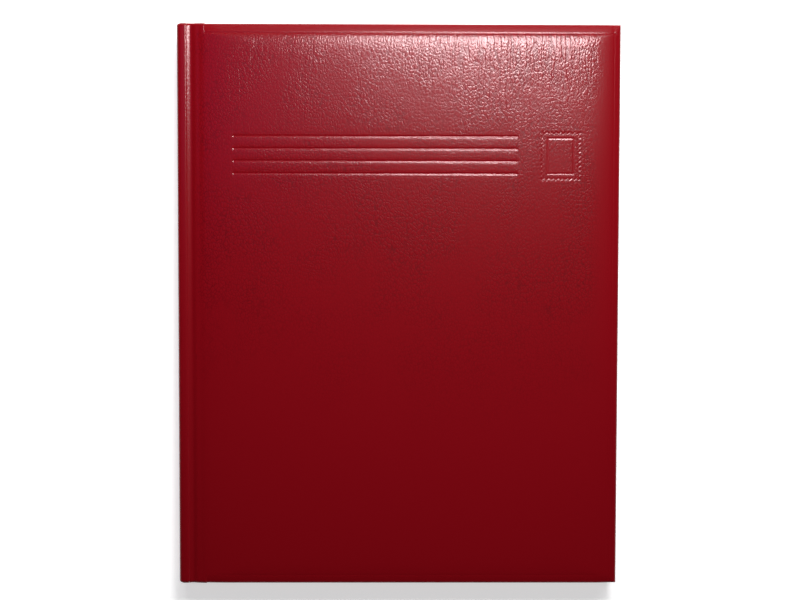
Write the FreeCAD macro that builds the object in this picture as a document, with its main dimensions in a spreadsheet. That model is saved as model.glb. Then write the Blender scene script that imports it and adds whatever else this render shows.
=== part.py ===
import FreeCAD, Part
import math
import os
from types import SimpleNamespace

import Sketcher

# A stamp album (stockbook) with a padded case, closed and lying on its back cover.
#
# Millimetres.  +Z points up through the thickness, from the back cover to the front
# cover.  +Y points to the head of the album.  The spine is on the -X side.  The origin
# is the middle of the face that the album rests on.
#
# The case is three padded panels (back cover, spine, front cover) joined by two strips
# of bare covering.  The block is eight cards with clear pockets on both faces, glassine
# sheets between them and a free endpaper at each end.  Each sheet turns on its own line
# along the inside of the spine.

LEAVES = 8
pieces = []


# --- Sizes -----------------------------------------------------------------------

DRIVING = [
    # name, millimetres, what it is
    ("cover_width", 240, "outer face of the spine to the fore-edge"),
    ("cover_height", 305, "head to tail"),
    ("covering", 0.5, "leatherette, everywhere on the outside"),
    ("padding", 3.3, "foam under the covering of a cover"),
    ("board", 2.0, "greyboard in covers and spine"),
    ("edge_radius", 2.5, "round of the covering along a padded edge"),
    ("turn_in", 15, "covering folded round onto the inside of a cover"),
    ("spine_turn_in", 4, "the same on the spine"),
    ("ridge_inset", 1.5, "how far the spine stands back from each cover's outer face"),
    ("swing_clearance", 0.3, "gap left between spine and cover when lying open"),
    ("pastedown", 0.2, "endpaper glued inside a cover"),
    ("pastedown_margin", 3.0, "its distance from the edges of the cover"),
    ("lining", 0.5, "cloth glued inside the spine"),
    ("lining_gap", 0.3, "spine lining to the lines that the sheets turn on"),
    ("lining_margin", 10.0, "its distance from the ends of the leaves"),
    ("square", 4.0, "how far the covers stand past the leaves"),
    ("card", 0.6, "card of a leaf"),
    ("cloth", 0.15, "linen hinge of a leaf, where it is free"),
    ("cloth_free", 8.0, "width of the linen from the spine to the card"),
    ("cloth_root", 0.5, "solid part of the linen in front of the card's edge"),
    ("flap", 0.1, "linen glued on each face of the card"),
    ("flap_width", 6.0, "width of that flap on the card"),
    ("film", 0.08, "clear film of a pocket strip"),
    ("strip_height", 26.0, "one pocket strip, along the height of the page"),
    ("strip_gap", 5.0, "bare card between two strips"),
    ("strip_margin", 3.0, "strips to the linen, the fore-edge, the head and the tail"),
    ("glassine", 0.06, "translucent sheet between two leaves"),
    ("glassine_inset", 2.0, "how far it stops short of the leaves' edges"),
    ("flyleaf", 0.15, "free endpaper"),
    ("endpaper_gap", 0.15, "pastedown to flyleaf"),
    ("sheet_gap", 0.18, "between neighbouring sheets"),
    ("band_depth", 1.9, "headband bead, out from the spine"),
    ("band_bead", 1.8, "headband bead, along the height of the album"),
    ("band_round", 0.8, "round of the bead's edges"),
    ("band_tape", 0.3, "thickness of the headband's tape"),
    ("band_tail", 8.0, "length of the tape behind the leaves"),
    ("band_gap", 0.3, "leaf ends to the bead"),
]


class Size:
    """A size as a number, and as the spreadsheet expression that gives it."""

    def __init__(self, number, text):
        self.number = number
        self.text = text

    def __add__(self, other):
        other = as_size(other)
        return Size(self.number + other.number, f"({self.text} + {other.text})")

    def __sub__(self, other):
        other = as_size(other)
        return Size(self.number - other.number, f"({self.text} - {other.text})")

    def __mul__(self, other):
        other = as_size(other)
        return Size(self.number * other.number, f"({self.text} * {other.text})")

    def __truediv__(self, other):
        other = as_size(other)
        return Size(self.number / other.number, f"({self.text} / {other.text})")

    def __neg__(self):
        return Size(-self.number, f"(0 - {self.text})")

    def whole(self):
        """The whole number just below, for counting how many pieces fit."""
        return Size(math.floor(self.number), f"floor({self.text})")


def as_size(value):
    """A plain number becomes a size whose expression is the number itself."""
    if isinstance(value, Size):
        return value
    return Size(float(value), repr(float(value)))


doc = FreeCAD.newDocument("StampAlbum")
sheet = doc.addObject("Spreadsheet::Sheet", "Sizes")
s = SimpleNamespace()
for row, (name, value, note) in enumerate(DRIVING, 1):
    sheet.set(f"A{row}", name)
    sheet.set(f"B{row}", str(value))
    sheet.set(f"C{row}", note)
    sheet.setAlias(f"B{row}", name)
    setattr(s, name, Size(float(value), f"Sizes.{name}"))
doc.recompute()

# A cover is covering, padding, board, turned-in covering and pastedown.
panel_depth = s.covering * 2 + s.padding + s.board
cover_stack = panel_depth + s.pastedown
# The spine is as deep as a cover less the joint's covering, so that all three panels
# lie flat on the table when the album is open.
spine_depth = cover_stack - s.covering
spine_padding = spine_depth - s.covering * 2 - s.board
# A cover turns about a line in the middle of the joint's covering.
hinge_x = spine_depth + s.covering / 2
hinge_z = cover_stack - s.covering / 2
board_edge = hinge_x + (hinge_z - s.ridge_inset) + s.swing_clearance
panel_width = s.cover_width - board_edge

# Heights of the sheets in the closed block, measured from the inside of the back cover.
leaf_half = s.card / 2 + s.flap
leaf_pitch = leaf_half * 2 + s.glassine + s.sheet_gap * 2
flyleaf_mid = s.endpaper_gap + s.flyleaf / 2
first_leaf = s.endpaper_gap + s.flyleaf + s.sheet_gap + leaf_half
block = first_leaf * 2 + leaf_pitch * (LEAVES - 1)
thickness = cover_stack * 2 + block
spine_width = thickness - s.ridge_inset * 2

# Across the page.
pivot_x = spine_depth + s.lining + s.lining_gap
card_start = pivot_x + s.cloth_free
card_end = s.cover_width - s.square
leaf_height = s.cover_height - s.square * 2

# World x of a place measured from the outer face of the spine.
middle = s.cover_width / 2


# --- Building blocks -------------------------------------------------------------

def bind(thing, name, size):
    """Ties a property to the spreadsheet."""
    thing.setExpression(name, as_size(size).text)


def place(thing, x, y, z, rotation=None):
    """Puts a sub-part in its place, with the position tied to the spreadsheet."""
    x, y, z = as_size(x), as_size(y), as_size(z)
    base = FreeCAD.Vector(x.number, y.number, z.number)
    thing.Placement = FreeCAD.Placement(base, rotation or FreeCAD.Rotation())
    for axis, size in (("x", x), ("y", y), ("z", z)):
        bind(thing, f"Placement.Base.{axis}", size)
    return thing


def new_body(label):
    body = doc.addObject("PartDesign::Body", label)
    body.Label = label
    pieces.append(body)
    return body


def plain_box(label, start, end, height, bottom, depth):
    """A flat piece: from start to end across the page, centred head to tail."""
    box = doc.addObject("Part::Box", label)
    box.Label = label
    bind(box, "Length", end - start)
    bind(box, "Width", height)
    bind(box, "Height", depth)
    pieces.append(box)
    return place(box, start - middle, -(height / 2), bottom)


def rectangle(width, height):
    """Corners of a rectangle round the middle."""
    x, y = as_size(width) / 2, as_size(height) / 2
    return [(-x, -y), (x, -y), (x, y), (-x, y)]


def draw(body, role, loops, level=0):
    """A sketch on one of the body's origin planes, every corner tied to the sheet."""
    plane = next(f for f in body.Origin.OriginFeatures if f.Role == role)
    sketch = body.newObject("Sketcher::SketchObject", "Outline")
    sketch.AttachmentSupport = (plane, [""])
    sketch.MapMode = "FlatFace"
    bind(sketch, "AttachmentOffset.Base.z", level)
    for corners in loops:
        first = sketch.GeometryCount
        count = len(corners)
        points = [FreeCAD.Vector(x.number, y.number, 0) for x, y in corners]
        for i in range(count):
            sketch.addGeometry(Part.LineSegment(points[i], points[(i + 1) % count]), False)
        for i in range(count):
            after = first + (i + 1) % count
            sketch.addConstraint(Sketcher.Constraint("Coincident", first + i, 2, after, 1))
        for i, corner in enumerate(corners):
            for kind, size in zip(("DistanceX", "DistanceY"), corner):
                rule = Sketcher.Constraint(kind, -1, 1, first + i, 1, size.number)
                index = sketch.addConstraint(rule)
                bind(sketch, f"Constraints[{index}]", size)
    return sketch


def pad(body, sketch, length, side="One side", downwards=False):
    feature = body.newObject("PartDesign::Pad", "Pad")
    feature.Profile = sketch
    feature.SideType = side
    feature.Reversed = downwards
    bind(feature, "Length", length)
    return feature


def names_at(kind, shape, axis, level):
    """Names of the edges or faces that lie wholly in the plane axis = level."""
    found = []
    for i, item in enumerate(getattr(shape, kind + "s"), 1):
        low = getattr(item.BoundBox, axis + "Min")
        high = getattr(item.BoundBox, axis + "Max")
        if abs(low - level) < 1e-5 and abs(high - level) < 1e-5:
            found.append(f"{kind}{i}")
    return found


def fillet(body, base, edges, radius):
    feature = body.newObject("PartDesign::Fillet", "Round")
    feature.Base = (base, edges)
    bind(feature, "Radius", radius)
    doc.recompute()
    return feature


# --- Panels of the case ----------------------------------------------------------
# A panel is drawn with its inside face at z = 0 and its outside at z = depth, centred
# in x and y, and is then put in its place as front cover, back cover or spine.

def panel_skin(label, width, height, depth, turn_in):
    """Covering: a tray with rounded outer edges, and a rim folded round the inside."""
    body = new_body(label)
    tray = pad(body, draw(body, "XY_Plane", [rectangle(width, height)]), depth)
    doc.recompute()
    edges = names_at("Edge", tray.Shape, "Z", depth.number)
    tray = fillet(body, tray, edges, s.edge_radius)
    hollow = body.newObject("PartDesign::Thickness", "Skin")
    hollow.Base = (tray, names_at("Face", tray.Shape, "Z", 0.0))
    hollow.Join = "Arc"
    hollow.Reversed = True
    bind(hollow, "Value", s.covering)
    doc.recompute()
    window = rectangle(width - turn_in * 2, height - turn_in * 2)
    rim = draw(body, "XY_Plane", [rectangle(width, height), window])
    pad(body, rim, s.covering)
    return body


def panel_board(label, width, height):
    """Board: fills the covering from wall to wall, behind the turned-in rim."""
    body = new_body(label)
    outline = rectangle(width - s.covering * 2, height - s.covering * 2)
    pad(body, draw(body, "XY_Plane", [outline], s.covering), s.board)
    return body


def panel_padding(label, width, height, depth):
    """Padding: lies on the board, with its outer edges rounded like the covering's."""
    body = new_body(label)
    outline = rectangle(width - s.covering * 2, height - s.covering * 2)
    foam = pad(body, draw(body, "XY_Plane", [outline], s.covering + s.board), depth)
    doc.recompute()
    edges = names_at("Edge", foam.Shape, "Z", (s.covering + s.board + depth).number)
    fillet(body, foam, edges, s.edge_radius - s.covering)
    return body


def panel_liner(label, sheet_size, sheet_depth, width, height, turn_in):
    """Liner: a sheet over the turned-in rim, made up level with the rim inside it."""
    body = new_body(label)
    pad(body, draw(body, "XY_Plane", [rectangle(*sheet_size)]), sheet_depth, downwards=True)
    doc.recompute()
    window = rectangle(width - turn_in * 2, height - turn_in * 2)
    pad(body, draw(body, "XY_Plane", [window]), s.covering)
    return body


def panel(name, width, depth, padding, turn_in, liner, liner_size, liner_depth):
    """All four pieces of one panel."""
    height = s.cover_height
    return [
        panel_skin(f"{name}_leatherette", width, height, depth, turn_in),
        panel_board(f"{name}_board", width, height),
        panel_padding(f"{name}_padding", width, height, padding),
        panel_liner(liner, liner_size, liner_depth, width, height, turn_in),
    ]


cover_mid = (board_edge + s.cover_width) / 2 - middle
paper_size = (
    panel_width - s.pastedown_margin * 2,
    s.cover_height - s.pastedown_margin * 2,
)
lining_size = (block - s.endpaper_gap * 2, leaf_height - s.lining_margin * 2)
upright = FreeCAD.Rotation(FreeCAD.Vector(0, 1, 0), -90)
face_down = FreeCAD.Rotation(FreeCAD.Vector(1, 0, 0), 180)

for piece in panel("front_cover", panel_width, panel_depth, s.padding, s.turn_in,
                   "front_pastedown", paper_size, s.pastedown):
    place(piece, cover_mid, 0, thickness - panel_depth)
for piece in panel("back_cover", panel_width, panel_depth, s.padding, s.turn_in,
                   "back_pastedown", paper_size, s.pastedown):
    place(piece, cover_mid, 0, panel_depth, face_down)
for piece in panel("spine", spine_width, spine_depth, spine_padding, s.spine_turn_in,
                   "spine_lining", lining_size, s.lining):
    place(piece, spine_depth - middle, 0, thickness / 2, upright)

# The joints: covering alone, between the inside of the spine and the covers' edges.
plain_box("front_joint_leatherette", spine_depth, board_edge, s.cover_height,
          thickness - cover_stack, s.covering)
plain_box("back_joint_leatherette", spine_depth, board_edge, s.cover_height,
          cover_stack - s.covering, s.covering)


# --- Headbands -------------------------------------------------------------------

def headband(label, y_end, rotation):
    """Bead across the end of the block with a tape that runs down behind the leaves.

    Drawn as a section that looks along the bead, so x is out from the spine and y is
    towards the head, from the end of the leaves.
    """
    body = new_body(label)
    bead_end = s.band_gap + s.band_bead
    corners = [
        (as_size(0), -s.band_tail),
        (s.band_tape, -s.band_tail),
        (s.band_tape, s.band_gap),
        (s.band_depth, s.band_gap),
        (s.band_depth, bead_end),
        (as_size(0), bead_end),
    ]
    bead = pad(body, draw(body, "XY_Plane", [corners]), lining_size[0], "Symmetric")
    doc.recompute()
    fillet(body, bead, names_at("Edge", bead.Shape, "X", s.band_depth.number), s.band_round)
    return place(body, spine_depth - middle, y_end, thickness / 2, rotation)


headband("head_band", leaf_height / 2, None)
headband("tail_band", -(leaf_height / 2), face_down)


# --- The block -------------------------------------------------------------------
# Leaf 1 is the uppermost, next to the front cover.  A leaf is drawn from its turning
# line at x = 0, with its middle plane at z = 0.

def leaf_cloth(label):
    """Linen hinge: free at the spine, then split into a flap on each face of the card."""
    body = new_body(label)
    thin = s.cloth / 2
    card = s.card / 2
    root = s.cloth_free - s.cloth_root
    tip = s.cloth_free + s.flap_width
    upper = [
        (s.cloth_free, card),
        (tip, card),
        (tip, leaf_half),
        (root, leaf_half),
        (root, thin),
        (as_size(0), thin),
    ]
    lower = [(x, -z) for x, z in reversed(upper)]
    section = draw(body, "XZ_Plane", [upper + lower])
    pad(body, section, leaf_height, "Symmetric")
    return body


def leaf_strips(label, face):
    """Clear pocket strips, as many as the page holds, on the upper or lower face."""
    body = new_body(label)
    pitch = s.strip_height + s.strip_gap
    room = leaf_height - s.strip_margin * 2 + s.strip_gap
    count = (room / pitch).whole()
    start = s.cloth_free + s.flap_width + s.strip_margin
    end = card_end - pivot_x - s.strip_margin
    low = -(((count - 1) * pitch + s.strip_height) / 2)
    high = low + s.strip_height
    corners = [(start, low), (end, low), (end, high), (start, high)]
    level = s.card / 2 * face
    first = pad(body, draw(body, "XY_Plane", [corners], level), s.film, downwards=face < 0)
    doc.recompute()
    rows = body.newObject("PartDesign::LinearPattern", "Rows")
    rows.Originals = [first]
    along = next(f for f in body.Origin.OriginFeatures if f.Role == "Y_Axis")
    rows.Direction = (along, [""])
    bind(rows, "Length", (count - 1) * pitch)
    bind(rows, "Occurrences", count)
    body.Tip = rows
    return body


def height_of_leaf(number):
    return cover_stack + first_leaf + leaf_pitch * (LEAVES - number)


for number in range(1, LEAVES + 1):
    name = f"leaf_{number}"
    level = height_of_leaf(number)
    plain_box(f"{name}_card", card_start, card_end, leaf_height, level - s.card / 2, s.card)
    place(leaf_cloth(f"{name}_hinge"), pivot_x - middle, 0, level)
    place(leaf_strips(f"{name}_front_strips", 1), pivot_x - middle, 0, level)
    place(leaf_strips(f"{name}_back_strips", -1), pivot_x - middle, 0, level)

for number in range(1, LEAVES):
    level = height_of_leaf(number) - leaf_pitch / 2
    plain_box(f"interleaf_{number}", pivot_x, card_end - s.glassine_inset,
              leaf_height - s.glassine_inset * 2, level - s.glassine / 2, s.glassine)

plain_box("front_flyleaf", pivot_x, card_end, leaf_height,
          thickness - cover_stack - flyleaf_mid - s.flyleaf / 2, s.flyleaf)
plain_box("back_flyleaf", pivot_x, card_end, leaf_height,
          cover_stack + flyleaf_mid - s.flyleaf / 2, s.flyleaf)


# --- Check and write -------------------------------------------------------------

doc.recompute()
for thing in doc.Objects:
    bad = {"Invalid", "Error"} & set(thing.State)
    if bad:
        raise RuntimeError(f"{thing.Label}: {sorted(bad)}")
for piece in pieces:
    if piece.Shape.isNull() or not piece.Shape.isValid():
        raise RuntimeError(f"{piece.Label} has no valid shape")

os.makedirs("parts", exist_ok=True)
for piece in pieces:
    piece.Shape.exportStep(f"parts/{piece.Label}.step")
print(len(pieces), "pieces; closed thickness", round(thickness.number, 3), "mm")
print("pivots at x", round(pivot_x.number, 3), "hinges at", hinge_x.number, hinge_z.number)
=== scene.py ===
# %% [markdown]
# # A padded stamp album
# A stamp album is a case made like a book's, wrapped round a block of card pages. The case
# has three padded panels under one glossy covering. Here its measured model is loaded as
# a fixed frame, and each piece that shows gets its real surface.

# %% Load the measured album
import math

import bpy
import numpy as np
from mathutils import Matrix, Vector


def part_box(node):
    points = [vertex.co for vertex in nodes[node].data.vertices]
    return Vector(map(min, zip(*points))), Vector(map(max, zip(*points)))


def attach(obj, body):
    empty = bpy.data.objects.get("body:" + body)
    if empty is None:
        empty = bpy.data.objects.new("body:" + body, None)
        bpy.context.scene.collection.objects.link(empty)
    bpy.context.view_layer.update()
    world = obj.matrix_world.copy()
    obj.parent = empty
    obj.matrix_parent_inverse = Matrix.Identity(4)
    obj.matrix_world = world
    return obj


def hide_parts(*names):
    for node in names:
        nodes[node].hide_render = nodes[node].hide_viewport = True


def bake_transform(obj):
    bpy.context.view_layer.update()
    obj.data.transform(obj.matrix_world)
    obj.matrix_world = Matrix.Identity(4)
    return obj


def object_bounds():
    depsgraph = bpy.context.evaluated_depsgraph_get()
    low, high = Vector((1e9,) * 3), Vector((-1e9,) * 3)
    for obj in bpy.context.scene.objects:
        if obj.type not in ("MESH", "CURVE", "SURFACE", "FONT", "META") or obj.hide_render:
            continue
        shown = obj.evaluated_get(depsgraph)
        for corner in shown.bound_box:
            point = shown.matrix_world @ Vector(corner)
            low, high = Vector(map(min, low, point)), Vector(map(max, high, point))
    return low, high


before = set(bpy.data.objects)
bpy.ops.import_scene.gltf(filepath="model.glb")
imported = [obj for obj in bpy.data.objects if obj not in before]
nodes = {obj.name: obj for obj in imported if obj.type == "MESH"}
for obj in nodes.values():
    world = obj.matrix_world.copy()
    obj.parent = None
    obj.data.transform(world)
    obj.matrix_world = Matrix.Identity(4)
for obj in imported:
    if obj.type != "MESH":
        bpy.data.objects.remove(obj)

MM = 0.001
cad_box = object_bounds()
low, high = (np.array(corner) / MM for corner in cad_box)
print("album", np.round(high - low, 2), "mm")

# %% [markdown]
# ## Meshes from arrays
# Most pieces of a book are sheets, and a sheet is a function of two numbers: how far
# across and how far along. numpy works out the whole grid of points at once, and the
# quads between neighbours follow from counting, so no shape is built by hand.

# %% Grids and meshes
def quads(index):
    """The faces of a grid of vertex numbers: each cell joins four neighbours."""
    a, b, c, d = index[:-1, :-1], index[:-1, 1:], index[1:, 1:], index[1:, :-1]
    return np.stack([a, b, c, d], -1).reshape(-1, 4)


def piece(name, points, faces, body, stands_for=(), caps=()):
    """Makes a mesh object from points in millimetres, smooth, riding on a CAD body.

    The points are also kept in the attribute "cut", so a pattern can follow the surface
    when the piece bends.
    """
    points = np.asarray(points, float).reshape(-1, 3) * MM
    mesh = bpy.data.meshes.new(name)
    mesh.from_pydata(points.tolist(), [], [*faces.tolist(), *caps])
    mesh.polygons.foreach_set("use_smooth", np.ones(len(mesh.polygons), bool))
    cut = mesh.attributes.new("cut", "FLOAT_VECTOR", "POINT")
    cut.data.foreach_set("vector", points.astype(np.float32).ravel())
    new = bpy.data.objects.new(name, mesh)
    bpy.context.scene.collection.objects.link(new)
    if body:
        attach(new, body)
    if stands_for:
        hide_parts(*stands_for)
    print(f"{name}: {len(points)} points, {len(mesh.polygons)} faces")
    return new


def graded(start, end, zones, coarse):
    """Positions from start to end, close together inside the zones and wide outside.

    A zone is (from, to, spacing), and beside it the spacing grows by half the distance
    from it. The number of lines per millimetre is added up along the way, and equal
    shares of that total give the positions.
    """
    place = np.linspace(start, end, 12001)
    step = np.full_like(place, coarse)
    for a, b, spacing in zones:
        reach = np.maximum(np.maximum(a - place, place - b), 0)
        step = np.minimum(step, spacing + reach * 0.5)
    total = np.concatenate([[0], np.cumsum(1 / step[1:] * np.diff(place))])
    return np.interp(np.linspace(0, total[-1], int(total[-1]) + 2), total, place)


# %% [markdown]
# ## A panel of the case
# A cover is board and foam with the covering pulled over it and folded round to the
# inside, so its surface is one skin: out over the top, down the edges, in under the
# rim, and back along its own inside. Two grids and a stack of rings between them give
# exactly that, with no seam left open.

# %% Closed panels
def rim_of(index):
    """The border of a grid of vertex numbers, once round, anticlockwise from above."""
    return np.concatenate([index[0, :-1], index[:-1, -1], index[-1, :0:-1], index[:0:-1, 0]])


def closed_panel(xs, ys, top, rings, bottom):
    """A grid at the heights in top, a grid at those in bottom, and rings between them.

    xs and ys are measured from the middle of the panel. Each ring is (inset, height):
    the border moved in by inset on every side. The bottom grid has the last inset.
    """
    x, y = np.meshgrid(xs, ys)
    half_x, half_y = xs[-1], ys[-1]
    upper = np.arange(x.size).reshape(x.shape)
    border_x, border_y = x.ravel()[rim_of(upper)], y.ravel()[rim_of(upper)]
    points = [np.stack([x, y, top], -1).reshape(-1, 3)]
    loops = [rim_of(upper)]
    for inset, height in rings:
        ring = [border_x * (1 - inset / half_x), border_y * (1 - inset / half_y)]
        points.append(np.stack([*ring, np.full(len(border_x), float(height))], -1))
        loops.append(sum(map(len, points[:-1])) + np.arange(len(border_x)))
    inset = rings[-1][0]
    below = [x * (1 - inset / half_x), y * (1 - inset / half_y), bottom]
    lower = sum(map(len, points)) + np.arange(x.size).reshape(x.shape)
    points.append(np.stack(below, -1).reshape(-1, 3))
    loops.append(rim_of(lower))
    band = np.stack(loops)
    band = np.concatenate([band, band[:, :1]], 1)
    faces = [quads(upper), quads(band)[:, [0, 3, 2, 1]], quads(lower)[:, ::-1]]
    return np.concatenate(points), np.concatenate(faces)


# %% [markdown]
# ## The padded surface
# Foam under the covering swells towards the middle of the cover and dies away at the
# edges. A hot die then presses a crease round the border, four lines across the head
# and a small stamp-shaped mark. All of it is one height above the board for each
# point, so the shapes simply add up.

# %% Sizes of a cover
front_low, front_high = (np.array(v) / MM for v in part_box("front_cover_leatherette"))
half_width, half_height = (front_high - front_low)[:2] / 2
cover_middle = (front_high + front_low)[:2] / 2
depth = front_high[2] - front_low[2]
covering = 0.5                     # thickness of the leatherette
turn_in = 15.0                     # folded round to the inside
board_top = 2.5                    # outer face of the board, from the inside face
SLACK = 0.05                       # the skin is this much thicker than the leatherette
FOAM_SLACK = 0.15                  # the foam's top is this far below the leatherette
FOAM_FOOT = 0.02                   # its underside is this far above the board
THINNEST = 0.2                     # and its top at least this far

# One column for each side of a cover: joint, fore-edge, tail and head.
border = np.array([4.0, 3.9, 4.8, 5.3])        # width of the border outside the crease
bevel = np.array([0.40, 0.35, 0.40, 0.55])     # how far the border curves down
lean = np.array([0.10, 0.15, 0.05, 0.12])      # and its slope next to the crease
crease = np.array([0.0, 0.06, 0.03, 0.15])     # depth of the crease
dip = np.array([0.90, 0.95, 0.35, 0.60])       # how far the field falls to the crease
dip_length = np.array([9.0, 5.5, 3.0, 2.6])    # and how quickly
edge = np.array([0.0, 1.7, 1.8, 1.8])          # height of the rounding at the very edge
EDGE_WIDTH = 1.3                               # of that rounding
CREASE_WIDTH = 0.33                            # half the width of the crease
MITRE = 5                                      # a higher power makes sharper corners
print("cover", np.round(half_width * 2, 1), "x", np.round(half_height * 2, 1), "mm")


def padded_height(x, y, facing=1):
    """Height of the covering's outside, at places measured from the cover's middle.

    For each side, with d the distance in from the crease and u the share of the border
    outside it: the field falls by dip * exp(-d / dip_length), the border by bevel * u^2
    and its lean, the last of it by a quarter ellipse, and a narrow bell-shaped groove is
    the crease. The sides are joined as a high-power mean, which mitres the corners.
    facing is -1 on the back cover, which lies the other way up.
    """
    sides = np.stack([half_width + x, half_width - x, half_height + y * facing,
                      half_height - y * facing], -1)
    field = dip * np.exp(-np.maximum(sides - border, 0) / dip_length)
    share = np.clip(1 - sides / border, 0, 1)
    slope = bevel * share ** 2 + lean * border * share
    round_off = edge * (1 - np.sqrt(1 - np.clip(1 - sides / EDGE_WIDTH, 0, 1) ** 2))
    falls = [(part ** MITRE).sum(-1) ** (1 / MITRE) for part in (field, slope, round_off)]
    inside = (sides > border - 1.0).sum(-1) == 4
    groove = (crease * np.exp(-((sides - border) / CREASE_WIDTH) ** 2)).max(-1) * inside
    return depth - sum(falls) - groove


# %% [markdown]
# ### Pressed lines
# A line pressed into padded leatherette isn't a sharp cut. The covering is pulled down
# into a soft groove about a millimetre wide, and the strip between two lines is left
# standing a little proud, like quilting.

# %% Four pressed lines
head = half_height
LINES = [head - 60.6, head - 67.25, head - 73.95, head - 80.65]
spine_face = low[0] - cover_middle[0]          # outer face of the spine, in cover places
line_start, line_end = spine_face + 30.4, spine_face + 184.3
GROOVE, GROOVE_WIDTH = 0.16, 0.42              # depth of one line, and half its width
SKIRT, SKIRT_LENGTH = 0.08, 2.2                # dip beside the outer lines, and how soon it fades
ARCH = 0.09                                    # how far a strip between two lines stands proud
DOT, DOT_WIDTH = 0.03, 0.8                     # the die's deeper start of each line


def between(value, a, b, soft):
    """1 from a to b and 0 outside, with a soft step at each end."""
    rise = np.clip((value - a) / soft + 0.5, 0, 1)
    fall = np.clip((b - value) / soft + 0.5, 0, 1)
    return rise * rise * (3 - 2 * rise) * fall * fall * (3 - 2 * fall)


def pressed_lines(x, y):
    """Depth of four bell-shaped grooves, less the swelling of the strips between.

    A strip is an arch: 4s(1 - s), where s runs from 0 to 1 between two lines. Above the
    first line and below the last the covering dips to meet the groove. The die goes in a
    little deeper at the start of each line, as a round bell-shaped dot.
    """
    lengthwise = between(x, line_start, line_end, 1.0)
    grooves = sum(np.exp(-((y - line) / GROOVE_WIDTH) ** 2) for line in LINES)
    s = (LINES[0] - y) / (LINES[0] - LINES[-1]) * 3
    arch = np.where((s > 0) & (s < 3), 4 * (s % 1) * (1 - s % 1), 0)
    outside = np.maximum(y - LINES[0], LINES[-1] - y)
    skirt = np.exp(-np.maximum(outside, 0) / SKIRT_LENGTH)
    from_start = [np.hypot(x - line_start, y - line) for line in LINES]
    dots = sum(np.exp(-(distance / DOT_WIDTH) ** 2) for distance in from_start)
    return lengthwise * (GROOVE * grooves + SKIRT * skirt - ARCH * arch) + DOT * dots


# %% [markdown]
# ### A pressed mark
# The mark by the fore-edge is a plain postage stamp: an outline with a perforated edge
# and a thin frame inside it. The distance to a rectangle gives both lines, and adding a
# wave along the border turns the outer one into a row of teeth.

# %% Stamp-shaped mark
mark_x, mark_y = spine_face + 207.5, head - 71.0
MARK = (20.0, 25.0)                            # width and height of the outline
PERFORATION, TEETH = 2.5, 0.45                 # from tooth to tooth, and half their height
FRAME_INSET = 3.0                              # the inner frame, in from the outline
OUTLINE, PANEL, FRAME = 0.07, 0.06, 0.08       # how deep each is pressed
OUTLINE_WIDTH, FRAME_WIDTH = 0.42, 0.45        # half the widths of the two lines
PANEL_SLOPE = 0.8                              # width of the slope at the panel's border


def rectangle_distance(x, y, width, height):
    """Distance outside (+) or inside (-) a rectangle round the origin."""
    across, along = np.abs(x) - width / 2, np.abs(y) - height / 2
    outside = np.hypot(np.maximum(across, 0), np.maximum(along, 0))
    return outside + np.minimum(np.maximum(across, along), 0)


def pressed_mark(x, y):
    """Depth of the perforated outline, the sunk panel inside it, and the inner frame."""
    x, y = x - mark_x, y - mark_y
    along = np.where(np.abs(x) / MARK[0] > np.abs(y) / MARK[1], y, x)
    teeth = TEETH * np.cos(2 * np.pi * along / PERFORATION)
    outer_edge = rectangle_distance(x, y, *MARK) - teeth
    frame_edge = rectangle_distance(x, y, MARK[0] - 2 * FRAME_INSET, MARK[1] - 2 * FRAME_INSET)
    outline = OUTLINE * np.exp(-(outer_edge / OUTLINE_WIDTH) ** 2)
    panel = PANEL * np.clip(0.5 - outer_edge / PANEL_SLOPE, 0, 1)
    return outline + panel + FRAME * np.exp(-(frame_edge / FRAME_WIDTH) ** 2)


# %% [markdown]
# ## Front cover
# The grid is close where the die has left fine shapes and wide over the plain field:
# along the rounded edges, the creases, the mark and the lines.

# %% Grid of the front cover
AT_EDGE, BY_CREASE = 1.4, 0.6      # how far in the close rows go, and to each side of a crease
fore_crease, head_crease = half_width - border[1], head - border[3]
tail_crease = border[2] - head
edge_zones = [(-half_width, -half_width + 5.0, 0.4), (half_width - AT_EDGE, half_width, 0.22),
              (fore_crease - BY_CREASE, fore_crease + BY_CREASE, 0.25)]
head_zones = [(head - AT_EDGE, head, 0.22), (head_crease - BY_CREASE, head_crease + BY_CREASE, 0.22)]
tail_zones = [(-head, AT_EDGE - head, 0.22), (tail_crease - BY_CREASE, tail_crease + BY_CREASE, 0.3)]
mark_zone = (mark_x - MARK[0] / 2 - 0.8, mark_x + MARK[0] / 2 + 0.8, 0.36)
ends = [(line_start - 1, line_start + 1, 0.3), (line_end - 1, line_end + 1, 0.4)]
across = graded(-half_width, half_width, [*edge_zones, mark_zone, *ends], 2.4)
lines_zone = (LINES[-1] - 3.0, LINES[0] + 4.0, 0.33)
along = graded(-head, head, [*head_zones, *tail_zones, lines_zone], 2.6)
print("front cover grid:", len(across), "x", len(along))

# %% [markdown]
# The covering runs on from that grid: down the side, round the lower edge, in under the
# board to the end of the turned-in strip, and back along its own inside. A list of rings
# says so. It is half a millimetre thick, so its inside follows the same function half a
# millimetre lower, without the pressed detail. The foam is a closed block that fills the
# room between the board and the covering.

# %% Covering and foam of a cover
# Rings of the covering below the grid, each as (inset, height).
TUCK = [(0, 1.2), (0, 0.4), (0.12, 0.12), (0.4, 0), (turn_in, 0), (turn_in, covering),
        (covering, covering), (covering, 1.2), (covering, board_top + 0.3)]


def cover_skin(name, xs, ys, pressed, plain, place, body, node):
    """The covering of one cover, as a closed skin about half a millimetre thick.

    place is a sign for each axis and a shift, which put the panel in the album.
    """
    inside = np.maximum(plain - covering - SLACK, board_top + 0.3)
    points, faces = closed_panel(xs, ys, pressed, TUCK, inside)
    skin = piece(name, points * place[0] + place[1], faces, body, [node])
    return skin


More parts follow.
